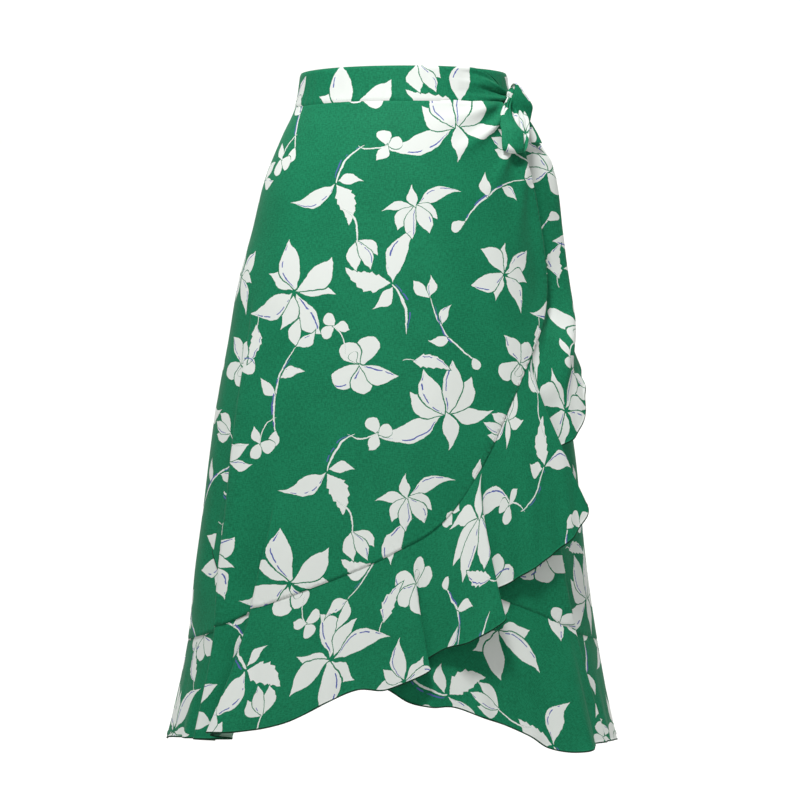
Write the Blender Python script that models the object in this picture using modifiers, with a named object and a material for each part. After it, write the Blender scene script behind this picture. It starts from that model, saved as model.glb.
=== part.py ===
"""Wrap skirt with a cascading flounce, standing open as it does when it is worn.

Metres, +Z up, the front of the wearer towards -Y and the wearer's left towards +X. The origin is
the middle of the waist opening, half-way up the waistband. Each cut and sewn piece is one object.
"""

import math

import bpy
import numpy as np
from mathutils import Matrix, Vector

# Cloth.
WALL = 0.0010              # wall of a single cloth
BAND_WALL = 0.0020         # the waistband is two cloths and an interlining
SEAM_GAP = 0.0006          # two pieces sewn together stand this far apart
LAP = 0.0035               # the overlapping front lies this far outside the under front

# Waistband.
BAND_HEIGHT = 0.040
BAND_START = -23.0         # the outer end, under the knot
BAND_END = -517.0          # the inner end, one turn and 134 degrees further on
DIP_FROM = -52.0           # from here to the knot the band is drawn together
DIP_TOP = 0.022            # how far its top edge comes down at the knot
DIP_BOTTOM = 0.006         # how far its lower edge comes up at the knot

# Hem of the back, level at the sides and higher in the middle.
BACK_SEAM = -0.628
BACK_SEAM_RISE = 0.040
BACK_HEM = -0.743
BACK_HEM_RISE = 0.043
BACK_WAVES = 5
BACK_WAVE = 0.009

# The figure inside: a general hip and an A-line below it, by height below the waist.
# height, left, right, front, back, all in mm
FIGURE = np.array([
    (20, -116, 116, -87, 87),
    (-20, -123, 123, -93, 94),
    (-50, -137, 136, -101, 105),
    (-100, -157, 150, -111, 120),
    (-160, -172, 158, -119, 131),
    (-220, -188, 165, -127, 138),
    (-290, -200, 176, -135, 144),
    (-360, -213, 187, -142, 149),
    (-420, -221, 196, -148, 153),
    (-480, -228, 202, -153, 157),
    (-540, -236, 208, -158, 161),
    (-630, -246, 221, -166, 167),
    (-760, -274, 245, -180, 178),
]) / 1000

# The curved edge of the overlapping front, from the knot down and round to the left side seam.
# The under front has the same edge the other way round.
# direction in degrees (0 right, -90 front, -180 left), height in mm
FRONT_EDGE = [
    (-23, -21),
    (-27, -60),
    (-26, -100),
    (-22, -160),
    (-21, -200),
    (-22, -230),
    (-27, -262),
    (-37, -302),
    (-49, -353),
    (-60, -413),
    (-75, -486),
    (-91, -524),
    (-108, -553),
    (-132, -588),
    (-147, -611),
    (-168, -625),
    (-180, -628),
]
CORNER_ROW = 8             # the row that the front is squared up to, half-way down its edge

# The outer flounce, a line across it per row: the height where it leaves the edge, and its hem.
# edge height, hem direction, hem height, hem stand-off; mm and degrees
OUTER_FLOUNCE = [
    (-22, 8, -26, 8),
    (-60, 15, -58, 9),
    (-100, 17, -98, 9),
    (-160, 17, -155, 8),
    (-200, 15, -205, 9),
    (-230, 10, -250, 12),
    (-245, 2, -297, 17),
    (-262, -14, -343, 26),
    (-272, -18, -371, 28),
    (-282, -25, -396, 20),
    (-293, -35, -416, 5),
    (-304, -34, -428, 10),
    (-313, -29, -462, 30),
    (-322, -28, -482, 34),
    (-339, -36, -510, 28),
    (-369, -45, -531, 22),
    (-395, -54, -551, 14),
    (-418, -63, -567, 5),
    (-427, -63, -574, 14),
    (-437, -61, -591, 33),
    (-446, -64, -602, 34),
    (-465, -71, -618, 23),
    (-488, -77, -626, 13),
    (-504, -82, -639, 6),
    (-509, -82, -643, 12),
    (-513, -81, -648, 19),
    (-520, -85, -657, 21),
    (-526, -92, -669, 14),
    (-537, -99, -669, 16),
    (-550, -106, -682, 18),
    (-563, -115, -703, 18),
    (-577, -123, -713, 18),
    (-587, -133, -719, 15),
    (-591, -132, -720, 6),
    (-599, -136, -727, 6),
    (-608, -142, -730, 10),
    (-612, -143, -731, 4),
    (-618, -152, -733, 2),
    (-625, -165, -736, 2),
    (-628, -180, -742, 3),
]

# The inner flounce, the same way from the left of the waist down and round to the right side seam.
INNER_FLOUNCE = [
    (-22, -165, -23, 0),
    (-60, -176, -66, 0),
    (-100, -187, -108, 0),
    (-160, -198, -172, 0),
    (-200, -203, -222, 0),
    (-230, -203, -272, 0),
    (-262, -197, -330, 0),
    (-302, -186, -398, 0),
    (-353, -172, -462, 0),
    (-413, -156, -530, 0),
    (-486, -134, -600, 0),
    (-509, -116, -636, 0),
    (-524, -100, -655, 0),
    (-535, -92, -669, 0),
    (-542, -86, -684, 1),
    (-548, -80, -689, 3),
    (-554, -74, -690, 2),
    (-561, -67, -701, 3),
    (-571, -61, -710, 5),
    (-579, -55, -722, 9),
    (-585, -50, -736, 15),
    (-591, -45, -741, 22),
    (-598, -40, -740, 25),
    (-605, -37, -736, 18),
    (-608, -34, -735, 6),
    (-615, -27, -737, 3),
    (-625, -12, -741, 2),
    (-628, 0, -743, 0),
]

# Soft folds that run down the overlapping front at its left.
# direction at the hip, direction at the edge, start height, edge height in mm, stand-off in mm, width
FOLDS = [
    (-152, -148, -250, -610, 9, 7),
    (-140, -133, -420, -590, 7, 6),
]

# The bow stands on the band at this direction and height.
BOW_AT = (-22.0, -0.010)
KNOT = (0.007, 0.008, 0.011)   # half its depth, width and height

# Each strip of the bow is a path that leaves the knot. Its width lies along the figure at turn 0 and
# stands straight out at turn 90, and its outer side is pitched down.
# direction, height, stand-off, half-width, turn, pitch; degrees and mm
LOOP_FRONT = [
    (-26.5, -6, 12.5, 4.5, 90, 0),
    (-33, -9, 16, 7, 90, 0),
    (-39, -24, 18, 10, 85, 0),
    (-41, -46, 18, 12, 80, 0),
    (-40, -63, 18, 12.5, 80, 0),
    (-36.5, -71, 18, 12.5, 80, 0),
    (-33, -65, 18, 12, 80, 0),
    (-31, -46, 17, 10, 85, 0),
    (-29, -28, 16, 7.5, 90, 0),
    (-26.5, -14, 12.5, 4.5, 90, 0),
]
LOOP_BACK = [
    (-17.5, -6, 12.5, 4.5, 90, 10),
    (-14, 2, 19, 9, 90, 40),
    (-10, 0, 21, 12, 90, 55),
    (-6, -8, 22, 14, 90, 55),
    (-3, -20, 22, 14, 90, 45),
    (-4, -33, 21, 12, 90, 30),
    (-8, -36, 20, 10, 90, 20),
    (-12, -29, 19, 7, 90, 10),
    (-17.5, -14, 12.5, 4.5, 90, 0),
]
TAIL = [
    (-22, -21.3, 12, 4.5, 30, 0),
    (-19, -32, 14, 7, 35, 0),
    (-17, -46, 14, 9, 40, 0),
    (-16, -61, 14, 11, 40, 0),
]


def figure(direction, height, stand_off=0.0):
    """The point this far outside the figure, as x, y and z."""
    left, right, front, back = (np.interp(-height, -FIGURE[:, 0], FIGURE[:, k]) for k in range(1, 5))
    half = (right - left) / 2
    turn = np.radians(direction)
    depth = np.where(np.sin(turn) < 0, -front, back)
    normal_x = np.cos(turn) / half
    normal_y = np.sin(turn) / depth
    length = np.hypot(normal_x, normal_y)
    x = (left + right) / 2 + half * np.cos(turn) + stand_off * normal_x / length
    y = depth * np.sin(turn) + stand_off * normal_y / length
    return np.stack([x, y, height + 0 * x], axis=-1)


def through(rows, share):
    """A smooth curve through the rows of a table, at these shares of its length in rows."""
    rows = np.asarray(rows, float)
    at = np.clip(np.asarray(share, float), 0, 1) * (len(rows) - 1)
    low = np.minimum(at.astype(int), len(rows) - 2)
    t = (at - low)[..., None]
    slope = np.gradient(rows, axis=0)
    a, b = rows[low], rows[low + 1]
    return (
        a * (2 * t**3 - 3 * t**2 + 1)
        + b * (3 * t**2 - 2 * t**3)
        + slope[low] * (t**3 - 2 * t**2 + t)
        + slope[low + 1] * (t**3 - t**2)
    )


def fold_lift(direction, height):
    """How far the soft folds stand out of the overlapping front."""
    lift = 0 * direction
    for hip, edge, start, end, out, width in FOLDS:
        down = np.clip((height - start / 1000) / ((end - start) / 1000), 0, 1)
        beside = (direction - (hip + (edge - hip) * down)) / width
        lift = lift + out / 1000 * down * np.exp(-np.where(beside < 0, 2.2 * beside, beside) ** 2)
    return lift


def material(name, colour):
    made = bpy.data.materials.new(name)
    made.use_nodes = True
    shader = made.node_tree.nodes["Principled BSDF"]
    shader.inputs["Base Color"].default_value = (*colour, 1)
    shader.inputs["Roughness"].default_value = 0.85
    return made


def cloth(name, points, wall, slot):
    """One piece of cloth: the grid of points is the middle of its wall, seen from outside."""
    across, down = points.shape[:2]
    faces = []
    for i in range(across - 1):
        for j in range(down - 1):
            k = i * down + j
            faces.append((k, k + 1, k + down + 1, k + down))
    mesh = bpy.data.meshes.new(name)
    mesh.from_pydata(points.reshape(-1, 3).tolist(), [], faces)
    mesh.materials.append(slot)
    obj = bpy.data.objects.new(name, mesh)
    skirt.objects.link(obj)
    solidify = obj.modifiers.new("Wall", "SOLIDIFY")
    solidify.thickness = wall
    solidify.offset = 0
    return obj


def along_edge(share, beyond=0.0):
    """The curved edge of a front at these shares, moved this far out of the cloth."""
    rows = np.array(FRONT_EDGE, float) / (1, 1000)
    at = through(rows, share)
    ahead = through(rows, np.clip(share + 0.002, 0, 1)) - through(rows, np.clip(share - 0.002, 0, 1))
    reach = 0.145 + 0.12 * -at[..., 1]
    step = np.stack([np.radians(ahead[..., 0]) * reach, ahead[..., 1]], axis=-1)
    step = step / np.linalg.norm(step, axis=-1, keepdims=True)
    at[..., 0] += np.degrees(-step[..., 1] * beyond / reach)
    at[..., 1] += step[..., 0] * beyond
    return at


def front_panel(mirrored, stand_off, columns, rows):
    """A front, squared up between the side seam, the waist and the two halves of its curved edge."""
    middle = CORNER_ROW / (len(FRONT_EDGE) - 1)
    waist = -BAND_HEIGHT / 2 - SEAM_GAP
    edge_start = FRONT_EDGE[0][0]
    u = np.linspace(0, 1, columns)[:, None, None]
    v = np.linspace(0, 1, rows)[None, :, None]
    foot = FRONT_EDGE[-1][1] / 1000
    top = np.concatenate([-180 + (edge_start + 180) * u, waist + 0 * u], axis=2)
    left = np.concatenate([-180 + 0 * v, waist + (foot - waist) * v], axis=2)
    right = along_edge(middle * v[..., 0])
    bottom = along_edge(1 - (1 - middle) * u[..., 0])
    corners = (
        (1 - u) * (1 - v) * top[:1]
        + u * (1 - v) * top[-1:]
        + (1 - u) * v * bottom[:1]
        + u * v * bottom[-1:]
    )
    flat = (1 - v) * top + v * bottom + (1 - u) * left + u * right - corners
    direction, height = flat[..., 0], flat[..., 1]
    if mirrored:
        points = figure(-180 - direction, height, stand_off)[::-1]
        points[-1, :, 1] = -SEAM_GAP / 2
    else:
        points = figure(direction, height, stand_off + fold_lift(direction, height))
        points[0, :, 1] = -SEAM_GAP / 2
    return points


def flounce(table, mirrored, stand_off, columns, rows):
    """A flounce: lines across it from the edge that it is sewn to, to its free hem."""
    row = through(table, np.linspace(0, 1, columns)) / (1000, 1, 1000, 1000)
    shares = np.linspace(0, 1, 600)
    share = np.interp(-row[:, 0], -along_edge(shares)[:, 1], shares)
    edge = along_edge(share, SEAM_GAP * 3)
    direction = -180 - edge[:, 0] if mirrored else edge[:, 0]
    height = edge[:, 1]
    lift = stand_off + (0 if mirrored else fold_lift(direction, height))
    down = np.linspace(0, 1, rows)
    points = figure(
        direction[:, None] + (row[:, 1] - direction)[:, None] * down,
        height[:, None] + (row[:, 2] - height)[:, None] * down,
        (lift + 0 * direction)[:, None] + (row[:, 3] - lift)[:, None] * down,
    )
    points[-1, :, 1] = -SEAM_GAP / 2
    return points


# Start from an empty scene, with a collection for the skirt.
for obj in list(bpy.data.objects):
    bpy.data.objects.remove(obj)
skirt = bpy.data.collections.new("wrap_skirt")
bpy.context.scene.collection.children.link(skirt)
print_cloth = material("printed_viscose", (0.015, 0.19, 0.09))

# Waistband: one strip that starts under the knot, goes round the front, the left side, the back and
# the right side, and ends inside the overlapping front.
turns = np.linspace(BAND_START, BAND_END, 53)
outside = np.interp(turns, [-360, -180], [0.0, LAP])
drawn = np.clip((turns - DIP_FROM) / (BAND_START - DIP_FROM), 0, 1) ** 2
tops = BAND_HEIGHT / 2 - DIP_TOP * drawn
bottoms = -BAND_HEIGHT / 2 + DIP_BOTTOM * drawn
across = np.linspace(0, 1, 3)
heights = tops[:, None] + (bottoms - tops)[:, None] * across
directions = np.repeat(turns[:, None], 3, axis=1)
band = figure(directions, heights, np.repeat(outside[:, None], 3, axis=1))
cloth("waistband", band[::-1], BAND_WALL, print_cloth)

# The two fronts. The under front is the same cut turned over, and lies inside.
cloth("over_panel", front_panel(False, LAP, 30, 18), WALL, print_cloth)
cloth("under_panel", front_panel(True, 0.0, 22, 14), WALL, print_cloth)

# The back, from the right side seam round to the left one.
round_back = np.linspace(0, 180, 21)[:, None]
rise = np.sin(np.radians(round_back)) ** 2
lower = BACK_SEAM + BACK_SEAM_RISE * rise
top = -BAND_HEIGHT / 2 - SEAM_GAP
down = np.linspace(0, 1, 14)[None, :]
height = top + (lower - top) * down
direction = round_back + 0 * down
back = figure(direction, height, LAP * direction / 180)
back[[0, -1], :, 1] = SEAM_GAP / 2
cloth("back_panel", back, WALL, print_cloth)

# The outer flounce stands out in waves that fall one over the next, and the inner one lies flat
# until it comes out from under the overlapping front.
cloth("flounce_over", flounce(OUTER_FLOUNCE, False, LAP, 84, 5)[::-1], WALL, print_cloth)
cloth("flounce_under", flounce(INNER_FLOUNCE, True, 0.0, 46, 4), WALL, print_cloth)

# The back flounce: gentle waves that grow towards the hem.
round_back = np.linspace(0, 180, 37)[:, None]
rise = np.sin(np.radians(round_back)) ** 2
down = np.linspace(0, 1, 5)[None, :]
seam = BACK_SEAM + BACK_SEAM_RISE * rise - SEAM_GAP
hem = BACK_HEM + BACK_HEM_RISE * rise
height = seam + (hem - seam) * down
direction = round_back + 0 * down
wave = BACK_WAVE * down * np.sin(np.radians(round_back * BACK_WAVES)) ** 2
skirted = figure(direction, height, LAP * direction / 180 + wave)
skirted[[0, -1], :, 1] = SEAM_GAP / 2
cloth("flounce_back", skirted, WALL, print_cloth)


def outward(direction, height):
    """The level unit vector straight out of the figure."""
    step = figure(direction, height, 0.01) - figure(direction, height)
    return step / np.linalg.norm(step, axis=-1, keepdims=True)


def strip(name, table):
    """A strip of the tie along the path of a table."""
    row = through(table, np.linspace(0, 1, 3 * len(table) - 2))
    path = figure(row[:, 0], row[:, 1] / 1000, row[:, 2] / 1000)
    out = outward(row[:, 0], row[:, 1] / 1000)
    level = np.stack([-out[:, 1], out[:, 0], 0 * out[:, 0]], axis=1)
    turn = np.radians(row[:, 4:5])
    pitch = np.radians(row[:, 5:6])
    side = np.cos(pitch) * (np.sin(turn) * out + np.cos(turn) * level)
    side[:, 2] -= np.sin(pitch[:, 0])
    side = side * row[:, 3:4] / 1000
    across = np.linspace(-1, 1, 3)[None, :, None]
    return cloth(name, path[:, None] + side[:, None] * across, WALL, print_cloth)


# The bow: the ends of the tie knotted on the band, with two loops and the one end that hangs free.
centre = Vector(figure(BOW_AT[0], BOW_AT[1], LAP + BAND_WALL / 2 + KNOT[0] + SEAM_GAP))
out = Vector(outward(BOW_AT[0], BOW_AT[1]))
up = Vector((0, 0, 1))
turn = Matrix((out, up.cross(out), up)).transposed().to_4x4()
bpy.ops.mesh.primitive_uv_sphere_add(segments=14, ring_count=9, radius=1)
knot = bpy.context.object
knot.name = "tie_knot"
knot.data.name = "tie_knot"
knot.data.materials.append(print_cloth)
knot.data.transform(Matrix.Translation(centre) @ turn @ Matrix.Diagonal((*KNOT, 1)))
for holder in list(knot.users_collection):
    holder.objects.unlink(knot)
skirt.objects.link(knot)
strip("tie_loop_front", LOOP_FRONT)
strip("tie_loop_back", LOOP_BACK)
strip("tie_tail", TAIL)
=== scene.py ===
import math

import bpy
import numpy as np
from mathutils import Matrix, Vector


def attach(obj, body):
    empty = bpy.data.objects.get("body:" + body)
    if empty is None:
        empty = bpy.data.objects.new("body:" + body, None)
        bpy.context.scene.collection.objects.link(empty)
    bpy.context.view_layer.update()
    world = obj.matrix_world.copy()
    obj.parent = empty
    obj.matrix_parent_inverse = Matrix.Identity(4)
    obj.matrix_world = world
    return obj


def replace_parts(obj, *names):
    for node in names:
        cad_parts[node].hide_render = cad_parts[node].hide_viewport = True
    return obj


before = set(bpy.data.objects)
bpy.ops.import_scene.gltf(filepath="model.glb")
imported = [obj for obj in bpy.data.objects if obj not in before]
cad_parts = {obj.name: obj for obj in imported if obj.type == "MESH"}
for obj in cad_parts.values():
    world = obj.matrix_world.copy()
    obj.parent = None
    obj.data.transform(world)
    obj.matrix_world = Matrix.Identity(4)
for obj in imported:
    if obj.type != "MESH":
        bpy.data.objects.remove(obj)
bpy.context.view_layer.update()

# ---------------------------------------------------------------------------------------------
# The cloth: light woven viscose, dyed and screen-printed with white blossoms, leaves and stems and
# a little blue pen line. Every piece is cut from it, so the print runs in each piece's own cut.
def linear(code):
    """An sRGB hex colour as linear red, green and blue with alpha."""
    parts = [int(code[k:k + 2], 16) / 255 for k in (1, 3, 5)]
    return (*(c / 12.92 if c <= 0.04045 else ((c + 0.055) / 1.055) ** 2.4 for c in parts), 1)


def node(tree, kind, links=(), **settings):
    """Add a node with these settings, its sockets linked or set by name or number."""
    made = tree.nodes.new(kind)
    for name, value in settings.items():
        setattr(made, name, value)
    for socket, value in dict(links).items():
        if isinstance(value, bpy.types.NodeSocket):
            tree.links.new(value, made.inputs[socket])
        else:
            made.inputs[socket].default_value = value
    return made


# Half-widths of the printed shapes along their length, as shares of the widest.
# share of the length, half-width
SHAPES = {
    "petal": [(0, 0.10), (0.12, 0.36), (0.33, 0.84), (0.50, 1.0), (0.70, 0.80), (0.88, 0.30), (1, 0)],
    "round": [(0, 0.16), (0.15, 0.46), (0.42, 0.88), (0.66, 1.0), (0.84, 0.80), (0.95, 0.42), (1, 0)],
    "leaf": [(0, 0.04), (0.08, 0.24), (0.28, 0.86), (0.42, 1.0), (0.66, 0.62), (0.86, 0.20), (1, 0)],
    "toothed": [(0, 0.08), (0.10, 0.42), (0.26, 0.95), (0.30, 0.76), (0.42, 1.0), (0.46, 0.80),
                (0.60, 0.84), (0.64, 0.60), (0.77, 0.56), (0.81, 0.36), (0.92, 0.22), (1, 0)],
    "stem": [(0, 0), (0.02, 0.7), (0.5, 1.0), (0.85, 0.6), (0.98, 0.3), (1, 0)],
}
SHARP = ("toothed",)         # the shapes whose outline has corners
INK_AT, INK_HALF = 0.62, 0.055   # a pen line's place and half-width, as shares of the shape's half-width
INK_INSET = 0.12           # how far inside the shape a pen line keeps

# Each motif is drawn about its own middle, each shape over the one before with a thin green gap
# between them. A pen row is a blue line.
# shape, foot across, foot up, direction, length, half-width, bow, inked; mm and degrees
MOTIFS = {
    "star blossom": [
        ("leaf", 4, -2, 338, 44, 10, 5, False),
        ("leaf", -2, 3, 130, 42, 11, -4, False),
        ("petal", 1, -4, 284, 52, 14, -6, True),
        ("leaf", -3, -3, 226, 42, 11, 4, False),
        ("petal", 3, 1, 84, 60, 14, 6, True),
        ("leaf", -4, 0, 178, 66, 13, 8, True),
        ("petal", 4, 1, 24, 54, 13, -7, False),
    ],
    "fan blossom": [
        ("leaf", -5, 0, 184, 78, 12, 10, True),
        ("leaf", 4, 0, 352, 50, 9, -6, False),
        ("petal", -2, 0, 136, 42, 11, 6, False),
        ("petal", 2, 0, 44, 46, 11, -6, False),
        ("petal", -1, 0, 104, 52, 12, 5, True),
        ("petal", 1, 0, 74, 56, 11, -4, True),
        ("leaf", 0, 2, 262, 42, 9, 4, False),
    ],
    "open blossom": [
        ("round", 1, 1, 52, 32, 12, 3, False),
        ("round", -1, 1, 122, 29, 11, -2, False),
        ("round", -1, -1, 198, 33, 12, 3, True),
        ("round", 0, -2, 268, 28, 11, -2, False),
        ("petal", 0, 0, 334, 40, 10, -5, True),
        ("round", -4, 3, 90, 14, 5, 2, False),
    ],
    "leaf pair": [
        ("leaf", 2, 2, 34, 70, 12, 10, True),
        ("toothed", -2, 3, 126, 56, 13, 6, False),
        ("leaf", -2, -3, 192, 34, 8, 4, False),
        ("stem", 0, 0, 250, 60, 1.3, 7, False),
        ("pen", 3, -2, 250, 54, 0.9, 8, False),
    ],
    "spray": [
        ("stem", -46, -12, 14, 104, 1.2, 13, False),
        ("pen", -42, -8, 14, 84, 1.0, 12, False),
        ("petal", 53, 14, 22, 34, 8, 4, False),
        ("leaf", 53, 14, -20, 32, 7.5, -4, True),
        ("leaf", -8, 9, 74, 32, 7.5, 4, False),
        ("leaf", 14, 13, -50, 30, 7, 4, True),
        ("round", -46, -12, 190, 18, 7, 0, False),
    ],
    "trefoil": [
        ("round", 0, 0, 85, 19, 7.5, 2, False),
        ("round", 0, 0, 200, 20, 8, -2, False),
        ("petal", 0, 0, 320, 22, 7, 2, False),
        ("stem", 0, 0, 262, 36, 0.8, 5, False),
    ],
    "bud": [
        ("petal", 0, 0, 60, 36, 9, -5, False),
        ("petal", 0, 0, 110, 32, 8.5, 5, False),
        ("petal", 0, 0, 84, 40, 8, 2, True),
        ("stem", 0, 1, 262, 46, 1.0, -7, False),
    ],
    "toothed leaf": [
        ("toothed", -28, -4, 8, 60, 12, 7, True),
        ("stem", -44, -8, 14, 24, 0.7, 3, False),
    ],
}
GAP = 0.09                 # the green gap between two shapes, as a share of the half-width

# The print repeats every REPEAT metres across and down. Where each motif falls in one repeat:
# motif, across, up, turn, size; mm, degrees and a factor
REPEAT = (0.34, 0.32)
LAYOUT = [
    ("star blossom", -108, 90, 20, 1.0),
    ("fan blossom", 62, -44, 12, 1.05),
    ("star blossom", 132, 112, 118, 0.72),
    ("leaf pair", 2, 98, 35, 0.95),
    ("leaf pair", -68, -108, 165, 0.85),
    ("open blossom", -32, 8, 10, 1.05),
    ("open blossom", 150, 12, 150, 0.9),
    ("fan blossom", 20, -136, 196, 0.66),
    ("spray", -118, -22, 62, 0.95),
    ("spray", 112, -128, 20, 0.9),
    ("spray", 70, 48, 112, 0.8),
    ("trefoil", -62, 52, 30, 0.9),
    ("trefoil", -150, -78, 150, 1.0),
    ("trefoil", -14, -66, 280, 0.9),
    ("bud", -40, 146, 215, 0.9),
    ("bud", 136, -66, 75, 0.85),
    ("toothed leaf", -166, 34, 250, 0.75),
    ("toothed leaf", 44, 8, 340, 0.7),
]


def shape_group(name, inked):
    """A node group that says how far inside a printed shape a point is. Its point runs from 0 to 1
    along the shape and from -1 to 1 across it."""
    group = bpy.data.node_groups.new(f"{name} {'inked' if inked else 'plain'}", "ShaderNodeTree")
    group.interface.new_socket("Point", in_out="INPUT", socket_type="NodeSocketVector")
    group.interface.new_socket("Bow", in_out="INPUT", socket_type="NodeSocketFloat")
    group.interface.new_socket("Inside", in_out="OUTPUT", socket_type="NodeSocketFloat")
    ends = node(group, "NodeGroupInput")
    point = node(group, "ShaderNodeSeparateXYZ", {0: ends.outputs["Point"]})
    rest = node(group, "ShaderNodeMath", {0: 1.0, 1: point.outputs[0]}, operation="SUBTRACT")
    hump = node(group, "ShaderNodeMath", {0: rest.outputs[0], 1: point.outputs[0]}, operation="MULTIPLY")
    across = node(
        group, "ShaderNodeMath", {0: hump.outputs[0], 1: ends.outputs["Bow"], 2: point.outputs[1]},
        operation="MULTIPLY_ADD",
    )
    outline = node(group, "ShaderNodeFloatCurve", {"Value": point.outputs[0]})
    curve = outline.mapping.curves[0]
    rows = SHAPES[name]
    curve.points[0].location = rows[0]
    curve.points[1].location = rows[-1]
    for row in rows[1:-1]:
        curve.points.new(*row)
    if name in SHARP:
        for spot in curve.points:
            spot.handle_type = "VECTOR"
    outline.mapping.update()
    off = node(group, "ShaderNodeMath", {0: across.outputs[0]}, operation="ABSOLUTE")
    inside = node(group, "ShaderNodeMath", {0: outline.outputs[0], 1: off.outputs[0]}, operation="SUBTRACT")
    out = node(group, "NodeGroupOutput", {"Inside": inside.outputs[0]})
    if inked:
        group.interface.new_socket("Ink", in_out="OUTPUT", socket_type="NodeSocketFloat")
        line = node(group, "ShaderNodeMath", {0: outline.outputs[0], 1: INK_AT}, operation="MULTIPLY")
        near = node(
            group, "ShaderNodeMath", {0: across.outputs[0], 1: line.outputs[0], 2: INK_HALF},
            operation="COMPARE",
        )
        well = node(group, "ShaderNodeMath", {0: inside.outputs[0], 1: INK_INSET}, operation="GREATER_THAN")
        ink = node(group, "ShaderNodeMath", {0: near.outputs[0], 1: well.outputs[0]}, operation="MULTIPLY")
        group.links.new(ink.outputs[0], out.inputs["Ink"])
    return group


shapes_used = {(row[0], row[7]) for rows in MOTIFS.values() for row in rows if row[0] != "pen"}
shape_groups = {(name, inked): shape_group(name, inked) for name, inked in sorted(shapes_used)}


def motif_group(name):
    """A node group for a whole motif. The point's third number carries how far inside any shape it is
    so far, so the shapes are worked out one after the other."""
    group = bpy.data.node_groups.new(name, "ShaderNodeTree")
    group.interface.new_socket("Point", in_out="INPUT", socket_type="NodeSocketVector")
    group.interface.new_socket("Inside", in_out="OUTPUT", socket_type="NodeSocketFloat")
    group.interface.new_socket("Ink", in_out="OUTPUT", socket_type="NodeSocketFloat")
    ends = node(group, "NodeGroupInput")
    point = ends.outputs["Point"]
    here = node(group, "ShaderNodeSeparateXYZ", {0: point})
    inside, ink = here.outputs[2], None
    for shape, x, y, turn, length, half, bow, inked in MOTIFS[name]:
        placed = node(
            group, "ShaderNodeMapping",
            {
                "Vector": point,
                "Location": (x / 1000, y / 1000, 0),
                "Rotation": (0, 0, math.radians(turn)),
                "Scale": (length / 1000, half / 1000, 1),
            },
            vector_type="TEXTURE",
        )
        drawn_as = "stem" if shape == "pen" else shape
        drawn = node(group, "ShaderNodeGroup", node_tree=shape_groups[drawn_as, inked])
        group.links.new(placed.outputs[0], drawn.inputs["Point"])
        drawn.inputs["Bow"].default_value = -4 * bow / half
        if shape == "pen":
            line = node(
                group, "ShaderNodeMath", {0: drawn.outputs["Inside"], 1: 0.0}, operation="GREATER_THAN"
            ).outputs[0]
        else:
            gap = node(
                group, "ShaderNodeMath", {0: drawn.outputs["Inside"], 1: -1.0, 2: -GAP},
                operation="MULTIPLY_ADD",
            )
            under = node(group, "ShaderNodeMath", {0: inside, 1: gap.outputs[0]}, operation="MINIMUM")
            inside = node(
                group, "ShaderNodeMath", {0: under.outputs[0], 1: drawn.outputs["Inside"]},
                operation="MAXIMUM",
            ).outputs[0]
            point = node(
                group, "ShaderNodeCombineXYZ", {0: here.outputs[0], 1: here.outputs[1], 2: inside}
            ).outputs[0]
            line = drawn.outputs["Ink"] if inked else None
        if line is not None and ink is not None:
            line = node(group, "ShaderNodeMath", {0: ink, 1: line}, operation="MAXIMUM").outputs[0]
        ink = ink if line is None else line
    out = node(group, "NodeGroupOutput", {"Inside": inside})
    if ink is not None:
        group.links.new(ink, out.inputs["Ink"])
    return group


motif_groups = {name: motif_group(name) for name in MOTIFS}


WANDER, RAGGED = 0.0080, 0.0010    # how far the screen's edge strays: softly, and thread by thread
FAR_INSIDE = 100           # wraps the third number without changing it


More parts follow.
